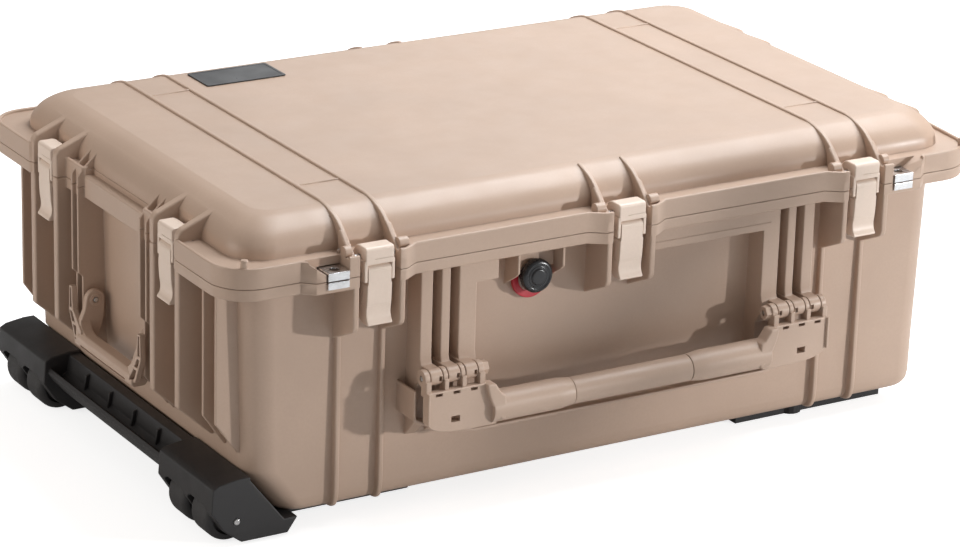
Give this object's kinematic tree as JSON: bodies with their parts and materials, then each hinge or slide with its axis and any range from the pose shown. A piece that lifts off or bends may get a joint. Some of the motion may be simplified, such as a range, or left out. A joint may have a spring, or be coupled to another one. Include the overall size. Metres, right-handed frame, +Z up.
{
  "type": "rolling hard equipment case",
  "caption": "Moulded hard equipment case on wheels, with double-throw latches, fold-down handles, a pull handle, padlock plates and a pressure valve.",
  "frame": {"origin": "centre of the bounding box in plan, at the level the wheels and feet stand on", "axes": "+X along the length, away from the wheels; +Y towards the back hinge; +Z up"},
  "size_m": [0.8088, 0.5421, 0.298],
  "materials": {
    "tan_shell": "fine satin moulded grain",
    "tan_latch": "satin moulded plastic",
    "tan_handle": "satin moulded plastic",
    "black_plastic": "textured moulded plastic",
    "black_gloss": "smooth moulded plastic",
    "black_label": "blank label stock",
    "wheel_rubber": "worn polyurethane tread",
    "seal_rubber": "soft cord",
    "red_rubber": "soft moulded ring",
    "steel_pin": "drawn rod",
    "steel_plate": "stamped bright plate",
    "steel_tube": "drawn tube"
  },
  "bodies": {
    "base": {"base_shell": "tan_shell", "hinge_pin_left": "steel_pin", "hinge_pin_mid": "steel_pin", "hinge_pin_right": "steel_pin", "valve_body": "black_gloss", "valve_seal": "red_rubber", "valve_nut": "black_gloss", "padlock_plate_lower_left": "steel_plate", "padlock_plate_lower_right": "steel_plate", "wheel_carriage": "black_plastic", "axle_front": "steel_pin", "axle_rear": "steel_pin", "front_handle_pin_left": "steel_pin", "front_handle_pin_right": "steel_pin", "side_handle_pin_left_front": "steel_pin", "side_handle_pin_left_rear": "steel_pin", "side_handle_pin_right_front": "steel_pin", "side_handle_pin_right_rear": "steel_pin", "foot_front": "black_plastic", "foot_rear": "black_plastic", "pull_handle_housing": "black_plastic"},
    "lid": {"lid_shell": "tan_shell", "lid_o_ring": "seal_rubber", "name_plate": "black_label", "padlock_plate_upper_left": "steel_plate", "padlock_plate_upper_right": "steel_plate", "latch_pin_front_left": "steel_pin", "latch_pin_front_mid": "steel_pin", "latch_pin_front_right": "steel_pin", "latch_pin_left_front": "steel_pin", "latch_pin_left_rear": "steel_pin", "latch_pin_right_front": "steel_pin", "latch_pin_right_rear": "steel_pin"},
    "latch_front_left": {"latch_body_front_left": "tan_latch"},
    "lever_front_left": {"latch_lever_front_left": "tan_latch"},
    "latch_front_mid": {"latch_body_front_mid": "tan_latch"},
    "lever_front_mid": {"latch_lever_front_mid": "tan_latch"},
    "latch_front_right": {"latch_body_front_right": "tan_latch"},
    "lever_front_right": {"latch_lever_front_right": "tan_latch"},
    "latch_left_front": {"latch_body_left_front": "tan_latch"},
    "lever_left_front": {"latch_lever_left_front": "tan_latch"},
    "latch_left_rear": {"latch_body_left_rear": "tan_latch"},
    "lever_left_rear": {"latch_lever_left_rear": "tan_latch"},
    "latch_right_front": {"latch_body_right_front": "tan_latch"},
    "lever_right_front": {"latch_lever_right_front": "tan_latch"},
    "latch_right_rear": {"latch_body_right_rear": "tan_latch"},
    "lever_right_rear": {"latch_lever_right_rear": "tan_latch"},
    "front_handle": {"front_handle": "tan_handle", "front_handle_grip": "tan_handle"},
    "side_handle_left": {"side_handle_left": "tan_handle"},
    "side_handle_right": {"side_handle_right": "tan_handle"},
    "wheel_front_inner": {"wheel_front_inner": "wheel_rubber"},
    "wheel_front_outer": {"wheel_front_outer": "wheel_rubber"},
    "wheel_rear_inner": {"wheel_rear_inner": "wheel_rubber"},
    "wheel_rear_outer": {"wheel_rear_outer": "wheel_rubber"},
    "pull_handle": {"pull_tube_front": "steel_tube", "pull_tube_rear": "steel_tube", "pull_grip": "black_plastic"},
    "pull_lock_button": {"pull_lock_button": "black_plastic"}
  },
  "joints": [
    {"name": "lid_hinge", "type": "hinge", "parent": "base", "child": "lid", "pos_m": [0.00155, 0.26519, 0.2475], "axis": [-1, 0, 0], "range_deg": [0, 105]},
    {"name": "latch_swing_front_left", "type": "hinge", "parent": "lid", "child": "latch_front_left", "pos_m": [-0.25885, -0.24031, 0.261], "axis": [-1, 0, 0], "range_deg": [0, 95]},
    {"name": "latch_throw_front_left", "type": "hinge", "parent": "latch_front_left", "child": "lever_front_left", "pos_m": [-0.25885, -0.24731, 0.2495], "axis": [-1, 0, 0], "range_deg": [0, 60]},
    {"name": "latch_swing_front_mid", "type": "hinge", "parent": "lid", "child": "latch_front_mid", "pos_m": [0.00155, -0.24031, 0.261], "axis": [-1, 0, 0], "range_deg": [0, 95]},
    {"name": "latch_throw_front_mid", "type": "hinge", "parent": "latch_front_mid", "child": "lever_front_mid", "pos_m": [0.00155, -0.24731, 0.2495], "axis": [-1, 0, 0], "range_deg": [0, 60]},
    {"name": "latch_swing_front_right", "type": "hinge", "parent": "lid", "child": "latch_front_right", "pos_m": [0.26195, -0.24031, 0.261], "axis": [-1, 0, 0], "range_deg": [0, 95]},
    {"name": "latch_throw_front_right", "type": "hinge", "parent": "latch_front_right", "child": "lever_front_right", "pos_m": [0.26195, -0.24731, 0.2495], "axis": [-1, 0, 0], "range_deg": [0, 60]},
    {"name": "latch_swing_left_front", "type": "hinge", "parent": "lid", "child": "latch_left_front", "pos_m": [-0.38695, -0.11751, 0.261], "axis": [0, 1, 0], "range_deg": [0, 95]},
    {"name": "latch_throw_left_front", "type": "hinge", "parent": "latch_left_front", "child": "lever_left_front", "pos_m": [-0.39395, -0.11751, 0.2495], "axis": [0, 1, 0], "range_deg": [0, 60]},
    {"name": "latch_swing_left_rear", "type": "hinge", "parent": "lid", "child": "latch_left_rear", "pos_m": [-0.38695, 0.13289, 0.261], "axis": [0, 1, 0], "range_deg": [0, 95]},
    {"name": "latch_throw_left_rear", "type": "hinge", "parent": "latch_left_rear", "child": "lever_left_rear", "pos_m": [-0.39395, 0.13289, 0.2495], "axis": [0, 1, 0], "range_deg": [0, 60]},
    {"name": "latch_swing_right_front", "type": "hinge", "parent": "lid", "child": "latch_right_front", "pos_m": [0.39005, -0.11751, 0.261], "axis": [0, -1, 0], "range_deg": [0, 95]},
    {"name": "latch_throw_right_front", "type": "hinge", "parent": "latch_right_front", "child": "lever_right_front", "pos_m": [0.39705, -0.11751, 0.2495], "axis": [0, -1, 0], "range_deg": [0, 60]},
    {"name": "latch_swing_right_rear", "type": "hinge", "parent": "lid", "child": "latch_right_rear", "pos_m": [0.39005, 0.13289, 0.261], "axis": [0, -1, 0], "range_deg": [0, 95]},
    {"name": "latch_throw_right_rear", "type": "hinge", "parent": "latch_right_rear", "child": "lever_right_rear", "pos_m": [0.39705, 0.13289, 0.2495], "axis": [0, -1, 0], "range_deg": [0, 60]},
    {"name": "front_handle_hinge", "type": "hinge", "parent": "base", "child": "front_handle", "pos_m": [0.00155, -0.25231, 0.141], "axis": [-1, 0, 0], "range_deg": [0, 95]},
    {"name": "side_handle_hinge_left", "type": "hinge", "parent": "base", "child": "side_handle_left", "pos_m": [-0.38175, 0.00769, 0.1392], "axis": [0, 1, 0], "range_deg": [0, 90]},
    {"name": "side_handle_hinge_right", "type": "hinge", "parent": "base", "child": "side_handle_right", "pos_m": [0.38485, 0.00769, 0.1392], "axis": [0, -1, 0], "range_deg": [0, 90]},
    {"name": "wheel_spin_front_inner", "type": "hinge", "parent": "base", "child": "wheel_front_inner", "pos_m": [-0.37945, -0.14431, 0.0235], "axis": [0, 1, 0], "continuous": true},
    {"name": "wheel_spin_front_outer", "type": "hinge", "parent": "base", "child": "wheel_front_outer", "pos_m": [-0.37945, -0.18931, 0.0235], "axis": [0, 1, 0], "continuous": true},
    {"name": "wheel_spin_rear_inner", "type": "hinge", "parent": "base", "child": "wheel_rear_inner", "pos_m": [-0.37945, 0.15969, 0.0235], "axis": [0, 1, 0], "continuous": true},
    {"name": "wheel_spin_rear_outer", "type": "hinge", "parent": "base", "child": "wheel_rear_outer", "pos_m": [-0.37945, 0.20469, 0.0235], "axis": [0, 1, 0], "continuous": true},
    {"name": "pull_slide", "type": "slide", "parent": "base", "child": "pull_handle", "axis": [1, 0, 0], "range_m": [0, 0.36]},
    {"name": "pull_lock_press", "type": "slide", "parent": "pull_handle", "child": "pull_lock_button", "axis": [-1, 0, 0], "range_m": [0, 0.003]}
  ]
}
